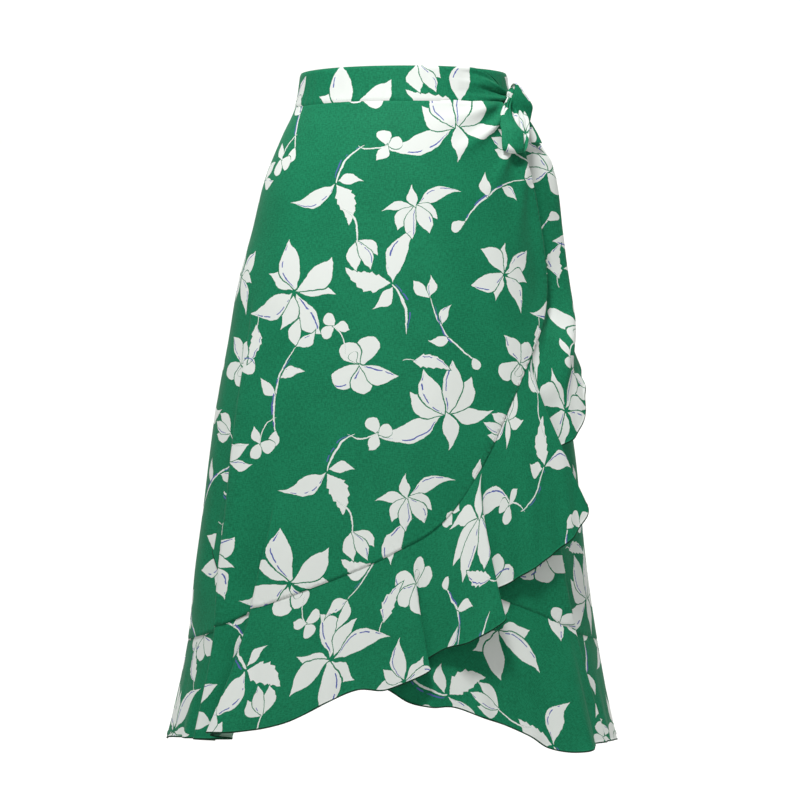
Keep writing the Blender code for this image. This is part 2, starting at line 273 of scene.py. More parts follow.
def printed(tree):
    """The cloth's own coordinates in metres, and the print's white and ink on them, each 0 or 1."""
    cloth = node(tree, "ShaderNodeUVMap", uv_map="cloth")
    # A screen-printed edge wanders a little, and is ragged at the threads.
    wander = node(tree, "ShaderNodeTexNoise", {"Vector": cloth.outputs[0], "Scale": 38.0, "Detail": 2.5})
    ragged = node(tree, "ShaderNodeTexNoise", {"Vector": cloth.outputs[0], "Scale": 420.0, "Detail": 1.0})
    moved = node(
        tree, "ShaderNodeVectorMath",
        {0: wander.outputs["Color"], 1: (WANDER, WANDER, 0), 2: cloth.outputs[0]}, operation="MULTIPLY_ADD",
    )
    point = node(
        tree, "ShaderNodeVectorMath",
        {0: ragged.outputs["Color"], 1: (RAGGED, RAGGED, 0), 2: moved.outputs[0]}, operation="MULTIPLY_ADD",
    )
    there = node(tree, "ShaderNodeSeparateXYZ", {0: point.outputs[0]})
    white, ink = -1.0, 0.0
    for motif, x, y, turn, size in LAYOUT:
        middle = (x / 1000, y / 1000)
        point = node(tree, "ShaderNodeCombineXYZ", {0: there.outputs[0], 1: there.outputs[1], 2: white})
        wrapped = node(
            tree, "ShaderNodeVectorMath",
            {
                0: point.outputs[0],
                1: (middle[0] + REPEAT[0] / 2, middle[1] + REPEAT[1] / 2, FAR_INSIDE),
                2: (middle[0] - REPEAT[0] / 2, middle[1] - REPEAT[1] / 2, -FAR_INSIDE),
            },
            operation="WRAP",
        )
        placed = node(
            tree, "ShaderNodeMapping",
            {
                "Vector": wrapped.outputs[0],
                "Location": (*middle, 0),
                "Rotation": (0, 0, math.radians(turn)),
                "Scale": (size, size, 1),
            },
            vector_type="TEXTURE",
        )
        drawn = node(tree, "ShaderNodeGroup", node_tree=motif_groups[motif])
        tree.links.new(placed.outputs[0], drawn.inputs["Point"])
        white = drawn.outputs["Inside"]
        ink = node(tree, "ShaderNodeMath", {0: ink, 1: drawn.outputs["Ink"]}, operation="MAXIMUM").outputs[0]
    white = node(tree, "ShaderNodeMath", {0: white, 1: 0.02}, operation="GREATER_THAN").outputs[0]
    # The pen lines break where the pen was dry.
    dry = node(tree, "ShaderNodeTexNoise", {"Vector": cloth.outputs[0], "Scale": 95.0, "Detail": 0.0})
    wet = node(tree, "ShaderNodeMath", {0: dry.outputs["Fac"], 1: 0.46}, operation="GREATER_THAN")
    ink = node(tree, "ShaderNodeMath", {0: ink, 1: wet.outputs[0]}, operation="MULTIPLY").outputs[0]
    return cloth, white, ink


# Slubs, as their size across and up the cloth in metres. Real threads are about a third of a
# millimetre apart, too fine to show, so they are drawn about 1 mm apart.
WEFT_SLUB = (1 / 260, 1 / 900)
WARP_SLUB = (1 / 1100, 1 / 210)
DYE_PATCH = 0.35           # the dye's patches, as a share of the unevenness of the threads
THREAD_RELIEF = 0.00010    # in metres
OVERLOCK = 0.0015          # width of the overlocking at a free hem
PUCKER_EVERY, PUCKER_REACH, PUCKER_RELIEF = 0.009, 0.012, 0.00025    # beside a seam, in metres


def viscose(name, face):
    """Printed viscose: soft, nearly matt, with a faint sheen and slubs. The wrong side is paler, because
    the print is only on the face."""
    made = bpy.data.materials.new(name)
    made.use_nodes = True
    tree = made.node_tree
    shader = tree.nodes["Principled BSDF"]
    shader.inputs["Roughness"].default_value = 0.72
    shader.inputs["Specular IOR Level"].default_value = 0.14
    shader.inputs["Sheen Weight"].default_value = 0.03
    shader.inputs["Sheen Roughness"].default_value = 0.45
    cloth, white, ink = printed(tree)
    # The dye takes a little unevenly, in patches and along single threads.
    patch = node(tree, "ShaderNodeTexNoise", {"Vector": cloth.outputs[0], "Scale": 22.0, "Detail": 3.0})
    slubs = []
    for size in (WEFT_SLUB, WARP_SLUB):
        at = node(
            tree, "ShaderNodeVectorMath", {0: cloth.outputs[0], 1: (1 / size[0], 1 / size[1], 1.0)},
            operation="MULTIPLY",
        )
        slubs.append(node(tree, "ShaderNodeTexNoise", {"Vector": at.outputs[0], "Scale": 1.0, "Detail": 2.0}))
    weft, warp = slubs
    threads = node(tree, "ShaderNodeMath", {0: weft.outputs["Fac"], 1: warp.outputs["Fac"]}, operation="ADD")
    uneven = node(
        tree, "ShaderNodeMath", {0: patch.outputs["Fac"], 1: DYE_PATCH, 2: threads.outputs[0]},
        operation="MULTIPLY_ADD",
    )
    level = node(tree, "ShaderNodeMapRange", {"Value": uneven.outputs[0], "From Min": 0.75, "From Max": 1.60})
    dyed = node(tree, "ShaderNodeValToRGB", {0: level.outputs[0]})
    dyed.color_ramp.elements[0].position = 0.25
    dyed.color_ramp.elements[1].position = 0.75
    dyed.color_ramp.elements[0].color = linear("#0f6e4b" if face else "#3f8b69")
    dyed.color_ramp.elements[1].color = linear("#1a865d" if face else "#57a07f")
    bare = node(
        tree, "ShaderNodeMix", {0: white, 6: dyed.outputs[0], 7: linear("#e8ede8" if face else "#a9c4b4")},
        data_type="RGBA",
    )
    drawn = node(
        tree, "ShaderNodeMix", {0: ink, 6: bare.outputs[2], 7: linear("#5663ad" if face else "#93a5b8")},
        data_type="RGBA",
    )
    # Overlocking thread covers the last of the cloth before a free hem, in darker green.
    edge = node(tree, "ShaderNodeAttribute", attribute_name="edge")
    places = node(tree, "ShaderNodeSeparateXYZ", {0: edge.outputs["Vector"]})
    along_seam, to_seam, to_hem = places.outputs
    thread = node(tree, "ShaderNodeMath", {0: to_hem, 1: OVERLOCK}, operation="LESS_THAN")
    colour = node(
        tree, "ShaderNodeMix", {0: thread.outputs[0], 6: drawn.outputs[2], 7: linear("#0c3b27")},
        data_type="RGBA",
    )
    tree.links.new(colour.outputs[2], shader.inputs["Base Color"])
    # Beside a seam the cloth puckers, at uneven distances.
    along = node(tree, "ShaderNodeMath", {0: along_seam, 1: 2 * math.pi / PUCKER_EVERY}, operation="MULTIPLY")
    shifted = node(
        tree, "ShaderNodeMath", {0: patch.outputs["Fac"], 1: 9.0, 2: along.outputs[0]},
        operation="MULTIPLY_ADD",
    )
    pucker = node(tree, "ShaderNodeMath", {0: shifted.outputs[0]}, operation="SINE")
    away = node(
        tree, "ShaderNodeMapRange",
        {"Value": to_seam, "From Min": 0.0, "From Max": PUCKER_REACH, "To Min": PUCKER_RELIEF, "To Max": 0.0},
    )
    puckered = node(tree, "ShaderNodeMath", {0: pucker.outputs[0], 1: away.outputs[0]}, operation="MULTIPLY")
    relief = node(
        tree, "ShaderNodeMath", {0: threads.outputs[0], 1: THREAD_RELIEF, 2: puckered.outputs[0]},
        operation="MULTIPLY_ADD",
    )
    bump = node(tree, "ShaderNodeBump", {"Height": relief.outputs[0], "Distance": 1.0, "Strength": 1.0})
    tree.links.new(bump.outputs[0], shader.inputs["Normal"])
    return made


printed_face = viscose("printed_viscose_face", True)
printed_back = viscose("printed_viscose_wrong_side", False)
WALL = 0.0005              # one layer of cloth


def cloth(name, points, cut, along_seam=1.0, to_seam=1.0, to_hem=1.0, wall=WALL, thick=None, doubled=False):
    """A piece of cloth on a grid of points, seen from outside, and where each point lies in its cut.
    The last three say how far each point is along and from its seam, and from its hem."""
    across, down = points.shape[:2]
    corner = np.arange(across * down).reshape(across, down)
    faces = np.stack([corner[:-1, :-1], corner[:-1, 1:], corner[1:, 1:], corner[1:, :-1]], axis=-1)
    mesh = bpy.data.meshes.new(name)
    mesh.from_pydata(points.reshape(-1, 3).tolist(), [], faces.reshape(-1, 4).tolist())
    layer = mesh.uv_layers.new(name="cloth")
    loops = np.empty(len(mesh.loops), int)
    mesh.loops.foreach_get("vertex_index", loops)
    layer.data.foreach_set("uv", cut.reshape(-1, 2)[loops].ravel())
    edge = mesh.attributes.new("edge", "FLOAT_VECTOR", "POINT")
    edges = np.stack([np.broadcast_to(k, (across, down)) for k in (along_seam, to_seam, to_hem)], axis=-1)
    edge.data.foreach_set("vector", edges.ravel())
    mesh.polygons.foreach_set("use_smooth", np.ones(len(mesh.polygons), bool))
    mesh.materials.append(printed_face)
    mesh.materials.append(printed_back)
    obj = bpy.data.objects.new(name, mesh)
    bpy.context.scene.collection.objects.link(obj)
    solidify = obj.modifiers.new("Wall", "SOLIDIFY")
    solidify.thickness = wall
    solidify.offset = 0
    solidify.material_offset = 0 if doubled else 1
    if thick is not None:
        group = obj.vertex_groups.new(name="thick")
        weights = np.broadcast_to(thick, (across, down)).ravel()
        for weight in np.unique(weights):
            group.add(np.flatnonzero(weights == weight).tolist(), float(weight), "REPLACE")
        solidify.vertex_group = "thick"
        solidify.thickness_vertex_group = 0.0
    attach(obj, "root")
    return obj


# ---------------------------------------------------------------------------------------------
# The back: one flared panel between the side seams, cut like a slice of a cone and sewn flat. It
# hangs from the band over the hips.
BAND_HEIGHT = 0.040
LAP = 0.0035               # the outer front lies this far outside the inner one
TUCK = 0.003               # a seam's hidden edge runs on this far under its neighbour
BACK_SEAM = (-0.628, 0.040)    # height at the sides, and how much higher in the middle
DEGREE_RUN = 0.0035        # metres of the back's seam to a degree

# The figure inside: a general hip and an A-line below it, by height below the waist.
# height, left, right, front, back, all in mm
FIGURE = np.array([
    (20, -116, 116, -87, 87),
    (-20, -123, 123, -93, 94),
    (-50, -137, 136, -101, 105),
    (-100, -157, 150, -111, 120),
    (-160, -172, 158, -119, 131),
    (-220, -188, 165, -127, 138),
    (-290, -200, 176, -135, 144),
    (-360, -213, 187, -142, 149),
    (-420, -221, 196, -148, 153),
    (-480, -228, 202, -153, 157),
    (-540, -236, 208, -158, 161),
    (-630, -246, 221, -166, 167),
    (-760, -274, 245, -180, 178),
]) / 1000


def figure(direction, height, stand_off=0.0):
    """The point this far outside the figure. Direction is in degrees: 0 right, -90 front, 180 left."""
    rows = -FIGURE[:, 0]
    at = np.clip(-np.asarray(height, float), rows[0], rows[-1])
    low = np.clip(np.searchsorted(rows, at) - 1, 0, len(rows) - 2)
    step = rows[low + 1] - rows[low]
    t = (at - rows[low]) / step
    sides = []
    for k in range(1, 5):
        value = FIGURE[:, k]
        slope = np.gradient(value, rows)
        sides.append(
            value[low] * (2 * t**3 - 3 * t**2 + 1)
            + value[low + 1] * (3 * t**2 - 2 * t**3)
            + step * slope[low] * (t**3 - 2 * t**2 + t)
            + step * slope[low + 1] * (t**3 - t**2)
        )
    left, right, front, back = sides
    half = (right - left) / 2
    turn = np.radians(direction)
    depth = np.where(np.sin(turn) < 0, -front, back)
    normal_x = np.cos(turn) / half
    normal_y = np.sin(turn) / depth
    length = np.hypot(normal_x, normal_y)
    x = (left + right) / 2 + half * np.cos(turn) + stand_off * normal_x / length
    y = depth * np.sin(turn) + stand_off * normal_y / length
    return np.stack([x, y, height + 0 * x], axis=-1)


def in_cut(direction, height, middle=-90):
    """Where a point of a panel lies in the cloth: distance round from the panel's middle, and height."""
    share = np.linspace(0, 1, 49)
    path = figure(middle + (direction[..., None] - middle) * share, height[..., None] + 0 * share)
    length = np.linalg.norm(np.diff(path, axis=-2), axis=-1).sum(axis=-1)
    return np.stack([np.sign(direction - middle) * length, height], axis=-1)


def flutes(direction, height, phase=0.0):
    """The soft upright waves of a flared panel, from nothing at the hip to 6 mm at the lower edge."""
    grown = np.clip((-0.10 - height) / 0.5, 0, 1) ** 1.2
    grown = grown * np.clip(3 * np.abs(np.sin(np.radians(direction))), 0, 1)
    turn = np.radians(direction + phase)
    return grown * (
        0.0030 * np.sin(7.3 * turn + 0.8 + 1.2 * height)
        + 0.0020 * np.sin(12.1 * turn + 2.1 - 3.0 * height)
        + 0.0009 * np.sin(19.7 * turn + 0.3 + 2.0 * height)
    )


round_back = np.linspace(0, 180, 150)[:, None]
rise = np.sin(np.radians(round_back)) ** 2
lower = BACK_SEAM[0] + BACK_SEAM[1] * rise
top = -BAND_HEIGHT / 2 + TUCK
down = np.linspace(0, 1, 170)[None, :]
height = top + (lower - top) * down
direction = round_back + 0 * down
tucked = np.clip((height + BAND_HEIGHT / 2) / TUCK, 0, 1)
points = figure(direction, height, LAP * direction / 180 + flutes(direction, height) - 0.0002 * tucked)
points[[0, -1], :, 1] = 0
back = cloth(
    "back_panel_cloth", points, in_cut(direction, height, 90) + (0.05, 0.09),
    along_seam=round_back * DEGREE_RUN, to_seam=height - lower,
)
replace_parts(back, "back_panel")

# ---------------------------------------------------------------------------------------------
# The inner front: a flared half-front whose free edge curves from the waist down to the side seam.
# It is the outer front's cut turned over, and shows only at the lower right.
FRONT_EDGE = [
    # direction in degrees, height in mm
    (-23, -21),
    (-27, -60),
    (-26, -100),
    (-22, -160),
    (-21, -200),
    (-22, -230),
    (-27, -262),
    (-37, -302),
    (-49, -353),
    (-60, -413),
    (-75, -486),
    (-91, -524),
    (-108, -553),
    (-132, -588),
    (-147, -611),
    (-168, -625),
    (-180, -628),
]
CORNER_ROW = 8             # the row that the front is squared up to, half-way down its edge


def through(rows, share):
    """A smooth curve through the rows of a table, at these shares of its length in rows."""
    rows = np.asarray(rows, float)
    at = np.clip(np.asarray(share, float), 0, 1) * (len(rows) - 1)
    low = np.minimum(at.astype(int), len(rows) - 2)
    t = (at - low)[..., None]
    slope = np.gradient(rows, axis=0)
    return (
        rows[low] * (2 * t**3 - 3 * t**2 + 1)
        + rows[low + 1] * (3 * t**2 - 2 * t**3)
        + slope[low] * (t**3 - 2 * t**2 + t)
        + slope[low + 1] * (t**3 - t**2)
    )


def along_edge(share, beyond=0.0):
    """The curved edge of a front at these shares, moved this far out of the cloth."""
    rows = np.array(FRONT_EDGE, float) / (1, 1000)
    at = through(rows, share)
    ahead = through(rows, np.clip(share + 0.002, 0, 1)) - through(rows, np.clip(share - 0.002, 0, 1))
    reach = 0.145 + 0.12 * -at[..., 1]
    step = np.stack([np.radians(ahead[..., 0]) * reach, ahead[..., 1]], axis=-1)
    step = step / np.linalg.norm(step, axis=-1, keepdims=True)
    at[..., 0] += np.degrees(-step[..., 1] * beyond / reach)
    at[..., 1] += step[..., 0] * beyond
    return at


def front_grid(columns, rows):
    """Direction and height over a front, squared up between its side seam, waist and curved edge."""
    middle = CORNER_ROW / (len(FRONT_EDGE) - 1)
    waist = -BAND_HEIGHT / 2 + TUCK
    foot = FRONT_EDGE[-1][1] / 1000
    u = np.linspace(0, 1, columns)[:, None, None]
    v = np.linspace(0, 1, rows)[None, :, None]
    top = np.concatenate([-180 + (FRONT_EDGE[0][0] + 180) * u, waist + 0 * u], axis=2)
    left = np.concatenate([-180 + 0 * v, waist + (foot - waist) * v], axis=2)
    right = along_edge(middle * v[..., 0])
    right[0, 0, 1] = waist
    bottom = along_edge(1 - (1 - middle) * u[..., 0])
    corners = (
        (1 - u) * (1 - v) * top[:1]
        + u * (1 - v) * top[-1:]
        + (1 - u) * v * bottom[:1]
        + u * v * bottom[-1:]
    )
    flat = (1 - v) * top + v * bottom + (1 - u) * left + u * right - corners
    return flat[..., 0], flat[..., 1]


def edge_places(direction, height):
    """How far along the curved edge a point of a front is, and how far from it."""
    shares = np.linspace(0, 1, 260)
    edge = along_edge(shares)
    reach = 0.145 + 0.12 * -edge[:, 1]
    flat_edge = np.stack([np.radians(edge[:, 0]) * 0.19, edge[:, 1]], axis=1)
    run = np.concatenate([[0], np.cumsum(np.linalg.norm(np.diff(flat_edge, axis=0), axis=1))])
    flat = np.stack([np.radians(direction) * 0.19, height], axis=-1)
    away = np.linalg.norm(flat[..., None, :] - flat_edge, axis=-1)
    nearest = away.argmin(axis=-1)
    return run[nearest], away.min(axis=-1)


INNER_FOLDS = [
    # direction at the start and the end, start and end height, stand-off, overlap and width
    # mm and degrees
    (-38, -31.5, -360, -745, -18, 3.4, 12),
]


FOLD_HALF = 1.5            # half the width of a fold's step, in degrees


def folded(direction, height, folds):
    """Where the cloth goes as a fold laps over its neighbour: the new direction, and the lift.
    The cloth in front is on the right of the fold, or on its left where the stand-off is negative."""
    lift, shift = 0 * direction, 0 * direction
    for first, last, start, end, out, lap, width in folds:
        down = np.clip((height - start / 1000) / ((end - start) / 1000), 0, 1)
        side = np.sign(out)
        across = side * (direction - (first + (last - first) * down)) / FOLD_HALF
        rise = np.clip(across / 2 + 0.5, 0, 1)
        grown = down**0.8
        beyond = np.maximum(across, 0) * FOLD_HALF / width
        lift = lift + abs(out) / 1000 * grown * rise**2 * (3 - 2 * rise) * np.exp(-beyond ** 2)
        shift = shift + side * lap * grown * (
            np.exp(-(((across + 0.8) / 0.9) ** 2)) - np.exp(-(((across - 0.8) / 0.9) ** 2))
        )
    return direction + shift, lift


direction, height = front_grid(250, 120)
along, away = edge_places(direction, height)
turned = -180 - direction
folded_to, lift = folded(turned, height, INNER_FOLDS)
points = figure(folded_to, height, lift + flutes(turned, height) * np.clip(away / 0.1, 0, 1) - 0.0002)[::-1]
points[-1, :, 1] = 0
under = cloth(
    "inner_front_cloth", points, (in_cut(turned, height) + (0.13, 0.21))[::-1],
    along_seam=along[::-1], to_seam=away[::-1],
)
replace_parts(under, "under_panel")

# ---------------------------------------------------------------------------------------------
# The inner flounce: a ring-shaped cut, sewn to the inner front's curved edge by its short side, so
# that its long side falls in waves. The hem is overlocked. Where it is hidden it lies flat.
INNER_FLOUNCE = [
    # edge height, hem direction, hem height, hem stand-off; mm and degrees
    (-22, -165, -23, 0),
    (-60, -176, -66, 0),
    (-100, -187, -108, 0),
    (-160, -198, -172, 0),
    (-200, -203, -222, 0),
    (-230, -203, -272, 0),
    (-262, -197, -330, 0),
    (-302, -186, -398, 0),
    (-353, -172, -462, 0),
    (-413, -156, -530, 0),
    (-486, -134, -600, 0),
    (-509, -116, -636, 0),
    (-524, -100, -655, 0),
    (-535, -92, -669, 0),
    (-542, -86, -684, 1),
    (-548, -80, -689, 3),
    (-554, -74, -690, 2),
    (-561, -67, -701, 3),
    (-571, -61, -710, 5),
    (-579, -55, -722, 9),
    (-585, -50, -736, 15),
    (-591, -45, -741, 22),
    (-598, -40, -740, 25),
    (-605, -37, -736, 18),
    (-608, -34, -735, 6),
    (-615, -27, -737, 3),
    (-625, -12, -741, 2),
    (-628, 0, -743, 0),
]
HEM_WALL = 0.0016          # the overlocked hem
HEM_WIDE = 0.0022          # how far the hem's thickness reaches
BEYOND_HEM = 0.3           # the cloth inside it, as a share of the hem's thickness


def hemmed(rows):
    """Shares across a flounce, close together at the hem where the overlocking is."""
    return np.concatenate([np.linspace(0, 0.972, rows - 5), [0.979, 0.984, 0.989, 0.995, 1]])


def ring_cut(sewn, hem, shares):
    """The flounce's flat cut: each narrow slice is laid beside the last, so the long side fans out."""
    width = np.linalg.norm(hem - sewn, axis=1)
    short = np.concatenate([[0], np.linalg.norm(np.diff(sewn, axis=0), axis=1)])
    long = np.concatenate([[0], np.linalg.norm(np.diff(hem, axis=0), axis=1)])
    fan = np.cumsum((long - short) / np.maximum(width, 0.04))
    heading = np.stack([np.cos(fan), np.sin(fan)], axis=1)
    start = np.cumsum(heading * short[:, None], axis=0)
    out = np.stack([heading[:, 1], -heading[:, 0]], axis=1)
    return start[:, None] + out[:, None] * (width[:, None] * shares)[..., None], width


def flounce(table, mirrored, stand_off, columns, rows, folds, shape):
    """A flounce's points, its cut, and its distances along its seam, from it, and from its hem."""
    row = through(table, np.linspace(0, 1, columns)) / (1000, 1, 1000, 1000)
    shares = np.linspace(0, 1, 900)
    share = np.interp(-row[:, 0], -along_edge(shares)[:, 1], shares)
    edge = along_edge(share, -TUCK)
    direction = -180 - edge[:, 0] if mirrored else edge[:, 0]
    height = edge[:, 1]
    lift = stand_off(direction, height)
    down = hemmed(rows)
    turn = direction[:, None] + (row[:, 1] - direction)[:, None] * down
    fall = height[:, None] + (row[:, 2] - height)[:, None] * down
    out = lift[:, None] + (row[:, 3] - lift)[:, None] * down
    folded_to, lift = folded(turn, fall, folds)
    points = figure(folded_to, fall, out + lift + shape(turn, fall, np.broadcast_to(down, out.shape)))
    points[-1, :, 1] = 0
    cut, width = ring_cut(points[:, 0], points[:, -1], down)
    run = np.concatenate([[0], np.cumsum(np.linalg.norm(np.diff(points[:, 0], axis=0), axis=1))])
    from_seam = width[:, None] * down
    return points, cut, run[:, None], from_seam, width[:, None] * (1 - down)


def flutter(turn, fall, down):
    """The small waves of a free hem."""
    run = np.radians(turn)
    from_side = np.clip(4 * np.abs(np.sin(run)), 0, 1)
    waves = 0.0016 * np.sin(run * 29 + fall * 11) + 0.0010 * np.sin(run * 53 - fall * 17 + 1.0)
    return down**2 * from_side * waves


points, cut, run, from_seam, to_hem = flounce(
    INNER_FLOUNCE, True, lambda d, h: 0 * d - 0.0009, 420, 40, INNER_FOLDS,
    lambda t, f, d: flutter(t, f, d) * np.clip((t + 95) / 10, 0, 1),
)
inner_flounce = cloth(
    "inner_flounce_cloth", points, cut + (0.31, 0.17), run, from_seam, to_hem,
    wall=HEM_WALL, thick=np.where(to_hem < HEM_WIDE, 1.0, BEYOND_HEM),
)
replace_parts(inner_flounce, "flounce_under")

# ---------------------------------------------------------------------------------------------
# The outer front: the same cut as the inner one, on top of it. Two soft folds run down its left
# side, and drag lines fan out from the knot that pulls the band's end.
OUTER_FOLDS = [
    # direction at the start and the end, start and end height, stand-off, overlap and width
    # mm and degrees
    (-151, -141, -240, -745, 17, 3.4, 7),
    (-127, -135, -460, -745, 21, 4.0, 16),
]
DRAG_LINES = [
    # start and end as distance left of the knot and below it, height and half-width; mm
    (8, 10, 105, 78, 6.5, 6),
    (8, 4, 120, 40, 5.0, 7),
    (8, 22, 70, 125, 5.5, 7),
    (12, 0, 110, 6, 3.0, 6),
    (14, 17, 84, 50, -3.5, 5),
    (10, 28, 56, 92, -3.5, 5),
    (6, 42, 40, 190, 4.0, 9),
]


def drag_lift(direction, height):
    """How far the drag lines stand out, or lie in, beside the knot."""
    left = np.radians(-23 - direction) * 0.125
    below = -0.008 - height
    lift = 0 * direction
    for x0, y0, x1, y1, out, wide in DRAG_LINES:
        run = np.array([x1 - x0, y1 - y0]) / 1000
        length = np.hypot(*run)
        run = run / length
        dx, dy = left - x0 / 1000, below - y0 / 1000
        t = (dx * run[0] + dy * run[1]) / length
        off = dx * -run[1] + dy * run[0]
        fade = np.clip(t / 0.12, 0, 1) * np.clip((1 - t) / 0.6, 0, 1)
        widen = wide / 1000 * (0.5 + 0.9 * np.clip(t, 0, 1))
        lift = lift + out / 1000 * fade * np.exp(-(off / widen) ** 2)
    return lift


def edge_roll(height):
    """How far the edge beside the hip rolls out before the flounce drops behind it."""
    return 0.0060 * np.clip((-0.05 - height) / 0.05, 0, 1) * np.clip((height + 0.31) / 0.10, 0, 1)


direction, height = front_grid(300, 130)
along, away = edge_places(direction, height)
folded_to, lift = folded(direction, height, OUTER_FOLDS)
lift = lift + LAP + drag_lift(direction, height) + edge_roll(height) * np.exp(-((away / 0.016) ** 2))
lift = lift + flutes(direction, height, 40.0) * np.clip(away / 0.08, 0, 1)
points = figure(folded_to, height, lift - 0.0002 * np.clip((height + BAND_HEIGHT / 2) / TUCK, 0, 1))
points[0, :, 1] = 0
over = cloth(
    "outer_front_cloth", points, in_cut(direction, height), along_seam=along, to_seam=away,
    wall=0.0010, thick=np.where(away < 0.0035, 1.0, 0.5),
)
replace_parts(over, "over_panel")

# ---------------------------------------------------------------------------------------------
# The outer flounce: the same ring-shaped cut, along the whole curved edge and hem of the outer front.
# From the knot it falls round the hip, then in four waves that lie one over the next.
OUTER_FLOUNCE = [
    # edge height, hem direction, hem height, hem stand-off; mm and degrees
    (-22, 8, -26, 8),
    (-60, 15, -58, 9),
    (-100, 17, -98, 9),
    (-160, 17, -155, 8),
    (-200, 15, -205, 9),
    (-230, 10, -250, 12),
    (-245, 2, -297, 17),
    (-262, -14, -343, 26),
    (-272, -18, -371, 28),
    (-282, -25, -396, 20),
    (-293, -35, -416, 5),
    (-304, -34, -428, 10),
    (-313, -29, -462, 30),
    (-322, -28, -482, 34),
    (-339, -36, -510, 28),
    (-369, -45, -531, 22),
    (-395, -54, -551, 14),
    (-418, -63, -567, 5),
    (-427, -63, -574, 14),
    (-437, -61, -591, 33),
    (-446, -64, -602, 34),
    (-465, -71, -618, 23),
    (-488, -77, -626, 13),
    (-504, -82, -639, 6),
    (-509, -82, -643, 12),
    (-513, -81, -648, 19),
    (-520, -85, -657, 21),
    (-526, -92, -669, 14),
    (-537, -99, -669, 16),
    (-550, -106, -682, 18),
    (-563, -115, -703, 18),
    (-577, -123, -713, 18),
    (-587, -133, -719, 15),
    (-591, -132, -720, 6),
    (-599, -136, -727, 6),
    (-608, -142, -730, 10),
    (-612, -143, -731, 4),
    (-618, -152, -733, 2),
    (-625, -165, -736, 2),
    (-628, -180, -742, 3),
]


def hip_fold(turn, fall, down):
    """Beside the hip the flounce drops to the inner front, then stands up in one long fold."""
    high = np.clip((fall + 0.36) / 0.1, 0, 1) * np.clip((-0.03 - fall) / 0.05, 0, 1)
    dip = -(0.0030 + edge_roll(fall)) * np.exp(-((down - 0.17) / 0.10) ** 2)
    ridge = 0.0150 * np.exp(-((down - 0.52) / 0.15) ** 2)
    return high * (dip + ridge) + flutter(turn, fall, down)


points, cut, run, from_seam, to_hem = flounce(
    OUTER_FLOUNCE, False, lambda d, h: LAP - 0.0010 + edge_roll(h), 640, 44, OUTER_FOLDS, hip_fold
)
outer_flounce = cloth(
    "outer_flounce_cloth", points[::-1], (cut * (-1, 1) + (0.22, 0.05))[::-1], run[::-1], from_seam[::-1],
    to_hem[::-1], wall=HEM_WALL, thick=np.where(to_hem < HEM_WIDE, 1.0, BEYOND_HEM)[::-1],
)
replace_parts(outer_flounce, "flounce_over")

# ---------------------------------------------------------------------------------------------
# The back flounce: the same cut again, sewn along the back's lower edge and joined to the other two
# flounces at the sides. It falls in gentle waves.
BACK_HEM = (-0.743, 0.043)     # height at the sides, and how much higher in the middle
BACK_WAVES = 5
BACK_WAVE = 0.009

round_back = np.linspace(0, 180, 300)[:, None]
rise = np.sin(np.radians(round_back)) ** 2
down = hemmed(36)[None, :]
seam = BACK_SEAM[0] + BACK_SEAM[1] * rise + TUCK
hem = BACK_HEM[0] + BACK_HEM[1] * rise
height = seam + (hem - seam) * down
direction = round_back + 0 * down
wave = BACK_WAVE * down * np.sin(np.radians(round_back * BACK_WAVES)) ** 2
lift = LAP * direction / 180 + wave - 0.0009 * np.clip(1 - down * 12, 0, 1) + flutes(direction, height)
points = figure(direction, height, lift)
points[[0, -1], :, 1] = 0
cut, width = ring_cut(points[:, 0], points[:, -1], down[0])
to_hem = width[:, None] * (1 - down)
back_flounce = cloth(
    "back_flounce_cloth", points, cut + (0.07, 0.28), round_back * DEGREE_RUN, width[:, None] * down,
    to_hem, wall=HEM_WALL, thick=np.where(to_hem < HEM_WIDE, 1.0, BEYOND_HEM),
)
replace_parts(back_flounce, "flounce_back")

# ---------------------------------------------------------------------------------------------
# The waistband: one strip folded double over an interlining. It starts under the knot, where it is
# drawn together, goes once round, and ends inside the outer front.
BAND_START, BAND_END = -23.0, -517.0
DIP_FROM, DIP_TOP, DIP_BOTTOM = -52.0, 0.022, 0.006    # how the band narrows to the knot
GATHERS_FROM = -66.0

turns = np.linspace(BAND_START, BAND_END, 560)[:, None]
drawn = np.clip((turns - DIP_FROM) / (BAND_START - DIP_FROM), 0, 1) ** 2
top = BAND_HEIGHT / 2 - DIP_TOP * drawn
bottom = -BAND_HEIGHT / 2 + DIP_BOTTOM * drawn
edges = np.array([0, 0.012, 0.03, 0.055])
share = np.concatenate([edges, np.linspace(0.09, 0.91, 16), [0.945, 0.97, 0.988, 1]])[None, :]
height = top + (bottom - top) * share
direction = turns + 0 * share
near_knot = np.clip((turns - GATHERS_FROM) / (BAND_START - GATHERS_FROM), 0, 1)
coarse = 0.0034 * np.sin((share - 0.1) * 13 + turns * 0.05)
fine = 0.0012 * np.sin(share * 34 - turns * 0.11)
gathers = near_knot**1.3 * (coarse + fine)
lift = np.interp(turns, [-360, -180], [0.0, LAP]) + gathers
points = figure(direction, height, lift + 0.0002 * np.sin(turns * 0.9) * np.sin(share * math.pi))
lengthwise = np.radians(turns) * 0.106
cut = np.stack([lengthwise + 0 * share + 0.11, height + 0.12], axis=-1)
pillow = np.round(np.clip(np.minimum(share, 1 - share) / 0.06, 0.3, 1), 1)
band = cloth(
    "waistband_cloth", points[::-1], cut[::-1], lengthwise[::-1], (height - bottom)[::-1],
    wall=0.0020, thick=np.repeat(pillow, len(turns), axis=0), doubled=True,
)
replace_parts(band, "waistband")

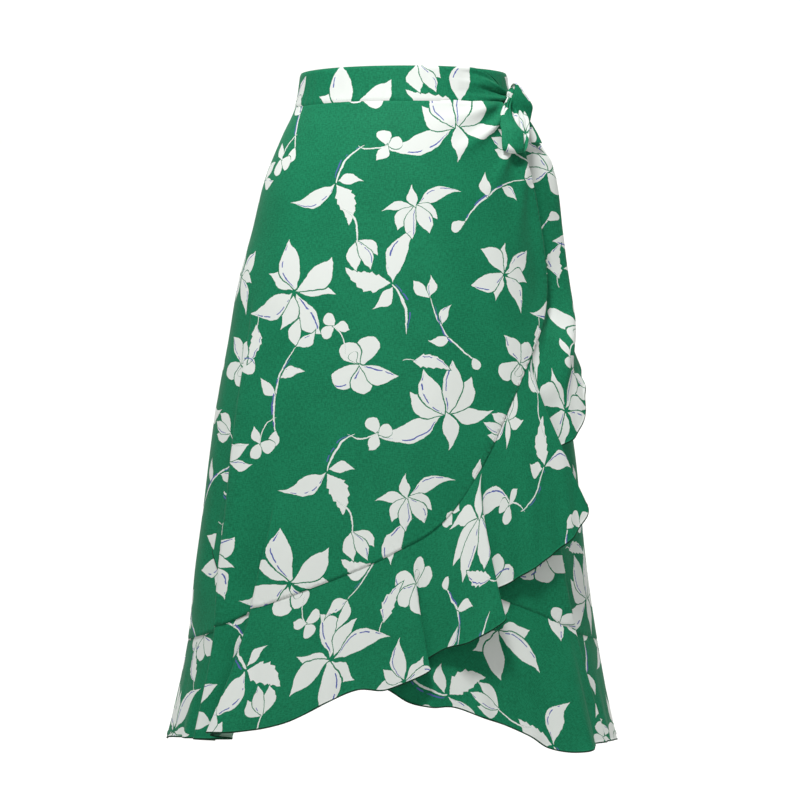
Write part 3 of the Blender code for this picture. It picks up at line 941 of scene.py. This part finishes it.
# ---------------------------------------------------------------------------------------------
# The bow: the tie's ends are narrow doubled strips, knotted on the band at the wearer's left. Two
# loops and one end show. The cloth is bunched where it enters the knot and opens out away from it.
BOW_AT = (-22.0, -0.010)
KNOT = (0.007, 0.008, 0.011)   # half its depth, width and height
LOOP_FRONT = [
    # from the knot's middle: right, up and to the front; half-width; turn and pitch of its width
    # mm and degrees
    (-3, -1, 5, 3.5, 0, 0),
    (-7, -12, 15, 4.5, 10, 0),
    (-7.5, -23, 21, 7.5, 18, 0),
    (-5, -33, 26, 10.5, 20, 0),
    (-1.2, -41, 30, 13, 22, 0),
    (-0.8, -53, 35, 13.5, 22, 0),
    (-0.5, -62, 37.5, 13, 22, 0),
    (0.5, -65.5, 33.5, 12, 22, 0),
    (5, -58, 28, 11, 22, 0),
    (8, -42, 19, 10.5, 22, 0),
    (8, -25, 12, 9, 15, 0),
    (2, -9, 2, 4.5, 0, 0),
]
LOOP_BACK = [
    (0, 3, 2, 4, 0, 10),
    (4, 9, 5, 7, 0, 40),
    (9, 8, 9, 9.5, 5, 48),
    (11.5, -4, 9, 12.5, 12, 30),
    (9.5, -15, 6, 13, 12, 16),
    (9.5, -26, 5, 11, 16, 10),
    (10, -35, 3, 8, 22, 6),
    (10, -38, 1, 6.5, 22, 6),
    (11, -30, 0, 6, 22, 0),
    (6, -15, -5, 6, 22, 0),
    (1, -2, -2, 4.5, 10, 0),
]
TAIL = [
    # direction, height, stand-off, half-width, turn, pitch; degrees and mm
    (-22, -21.3, 12, 4.5, 30, 0),
    (-19, -32, 14, 7, 35, 0),
    (-17, -46, 14, 9, 40, 0),
    (-16, -61, 14, 11, 40, 0),
]


def outward(direction, height):
    """The level unit vector straight out of the figure."""
    step = figure(direction, height, 0.01) - figure(direction, height)
    return step / np.linalg.norm(step, axis=-1, keepdims=True)


knot_middle = figure(BOW_AT[0], BOW_AT[1], LAP + 0.001 + KNOT[0] + 0.0006)


def strip(name, path, half, side, place, both_ends=True):
    """A strip of the tie along a path, its width along side, pleated where it enters the knot."""
    share = np.linspace(0, 1, len(path))
    proud = np.cross(np.gradient(path, axis=0), side)
    proud = proud / np.linalg.norm(proud, axis=1, keepdims=True)
    across = np.concatenate([[-1, -0.985, -0.95], np.linspace(-0.9, 0.9, 19), [0.95, 0.985, 1]])
    to_knot = np.minimum(share, 1 - share) if both_ends else share
    pleats = 0.0016 * np.exp(-(to_knot / 0.16) ** 2)[:, None] * np.cos(across * 9.0)
    belly = 0.0030 * (1 - np.exp(-(to_knot / 0.2) ** 2))[:, None] * (0.4 - across**2)
    points = path[:, None] + side[:, None] * (half[:, None] * across)[..., None]
    points = points + proud[:, None] * (pleats + belly)[..., None]
    run = np.concatenate([[0], np.cumsum(np.linalg.norm(np.diff(path, axis=0), axis=1))])
    cut = np.stack([run[:, None] + 0 * across, 0.013 * across + 0 * run[:, None]], axis=-1) + place
    thick = np.where(np.abs(across) > 0.96, 0.6, 1.0)[None, :]
    made = cloth(name, points, cut, wall=0.0010, thick=np.repeat(thick, len(share), axis=0), doubled=True)
    return made


def loop(name, table, place):
    """A loop of the bow, from a table of places round the knot."""
    row = through(table, np.linspace(0, 1, 26 * (len(table) - 1)))
    path = knot_middle + row[:, [0, 2, 1]] * (0.001, -0.001, 0.001)
    turn, pitch = np.radians(row[:, 4]), np.radians(row[:, 5])
    side = np.stack([np.cos(turn) * np.cos(pitch), np.sin(turn) * np.cos(pitch), -np.sin(pitch)], axis=1)
    return strip(name, path, row[:, 3] / 1000, side, place)


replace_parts(loop("bow_loop_front", LOOP_FRONT, (0.02, 0.10)), "tie_loop_front")
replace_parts(loop("bow_loop_back", LOOP_BACK, (0.16, 0.02)), "tie_loop_back")

row = through(TAIL, np.linspace(0, 1, 90)) / (1, 1000, 1000, 1000, 1, 1)
out = outward(row[:, 0], row[:, 1])
level = np.stack([-out[:, 1], out[:, 0], 0 * out[:, 0]], axis=1)
turn = np.radians(row[:, 4:5])
tail = strip(
    "bow_tail", figure(row[:, 0], row[:, 1], row[:, 2]), row[:, 3],
    np.sin(turn) * out + np.cos(turn) * level, (0.10, 0.03), both_ends=False,
)
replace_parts(tail, "tie_tail")

# The knot: the tie's last turn, drawn tight in upright creases.
out = Vector(outward(BOW_AT[0], BOW_AT[1]))
up = Vector((0, 0, 1))
around = np.linspace(0, 2 * math.pi, 97)[:, None]
rise = np.linspace(0.04, math.pi - 0.04, 40)[None, :]
creases = 0.05 * np.sin(around * 11 + 2.0 * np.cos(rise)) * np.sin(rise)
waist = 0.10 * np.exp(-((rise - 1.6) / 0.3) ** 2)
creased = 1 + creases - waist
local = np.stack([
    KNOT[0] * creased * np.sin(rise) * np.cos(around),
    KNOT[1] * creased * np.sin(rise) * np.sin(around),
    KNOT[2] * np.cos(rise) + 0 * around,
], axis=-1)
axes = np.array([out, up.cross(out), up])
points = knot_middle + local @ axes
cut = np.stack([around * 0.008 + 0 * rise, rise * 0.011 + 0 * around], axis=-1) + (0.25, 0.03)
knot = cloth("bow_knot", points, cut, wall=0.0006, doubled=True)
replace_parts(knot, "tie_knot")

# ---------------------------------------------------------------------------------------------
# The studio: a pale floor that sweeps up into a pale wall, a narrow soft light from the front and
# above, a weaker one from the other side, a light on the wall alone, and light from all round.
def plain_paint(name, colour, roughness):
    """Matt emulsion on a smooth sweep, with the faint unevenness of a roller."""
    made = bpy.data.materials.new(name)
    made.use_nodes = True
    tree = made.node_tree
    shader = tree.nodes["Principled BSDF"]
    shader.inputs["Roughness"].default_value = roughness
    place = node(tree, "ShaderNodeTexCoord")
    grain = node(
        tree, "ShaderNodeTexNoise", {"Vector": place.outputs["Object"], "Scale": 60.0, "Detail": 3.0}
    )
    tint = node(
        tree, "ShaderNodeMix", {0: 0.02, 6: linear(colour), 7: grain.outputs["Color"]}, data_type="RGBA"
    )
    tree.links.new(tint.outputs[2], shader.inputs["Base Color"])
    return made


FLOOR = -1.05
SWEEP_START, SWEEP_RADIUS = 2.2, 1.6
sweep = [(-6.0, FLOOR), (SWEEP_START, FLOOR)]
for k in range(1, 17):
    turn = math.radians(90 * k / 16)
    sweep.append((SWEEP_START + SWEEP_RADIUS * math.sin(turn), FLOOR + SWEEP_RADIUS * (1 - math.cos(turn))))
sweep.append((SWEEP_START + SWEEP_RADIUS, FLOOR + 6.0))
corners = [(x, y, z) for y, z in sweep for x in (-7.0, 7.0)]
faces = [(2 * k, 2 * k + 1, 2 * k + 3, 2 * k + 2) for k in range(len(sweep) - 1)]
mesh = bpy.data.meshes.new("studio_sweep")
mesh.from_pydata(corners, [], faces)
mesh.polygons.foreach_set("use_smooth", [True] * len(faces))
mesh.materials.append(plain_paint("studio_white_emulsion", "#f4f4f2", 0.9))
floor = bpy.data.objects.new("studio_sweep", mesh)
bpy.context.scene.collection.objects.link(floor)


def soft_light(name, place, target, size, power, spread=180):
    """A square soft light in watts, aimed at the target, whose light fans out by the spread in degrees."""
    light = bpy.data.lights.new(name, "AREA")
    light.size = size
    light.energy = power
    light.spread = math.radians(spread)
    obj = bpy.data.objects.new(name, light)
    obj.location = place
    obj.rotation_euler = (Vector(target) - Vector(place)).to_track_quat("-Z", "Y").to_euler()
    bpy.context.scene.collection.objects.link(obj)


soft_light("key_light", (-0.25, -1.15, 1.30), (0, 0, -0.28), 0.42, 7.8, 90)
soft_light("fill_light", (0.6, -2.9, 0.5), (0, 0, -0.3), 1.2, 4)
soft_light("wall_light", (0, 1.2, 2.6), (0, 4.0, -0.3), 3.0, 138)

world = bpy.data.worlds.new("studio_air")
world.use_nodes = True
world.node_tree.nodes["Background"].inputs["Color"].default_value = (1, 1, 1, 1)
world.node_tree.nodes["Background"].inputs["Strength"].default_value = 0.26
bpy.context.scene.world = world
bpy.context.scene.view_settings.view_transform = "Standard"

camera = bpy.data.cameras.new("camera")
camera.sensor_width = 36
camera.lens = 125.2
camera.clip_end = 50
view = bpy.data.objects.new("camera", camera)
view.location = (-0.00575, -3.2, -0.354)
view.rotation_euler = (math.radians(90), 0, 0)
bpy.context.scene.collection.objects.link(view)
bpy.context.scene.camera = view
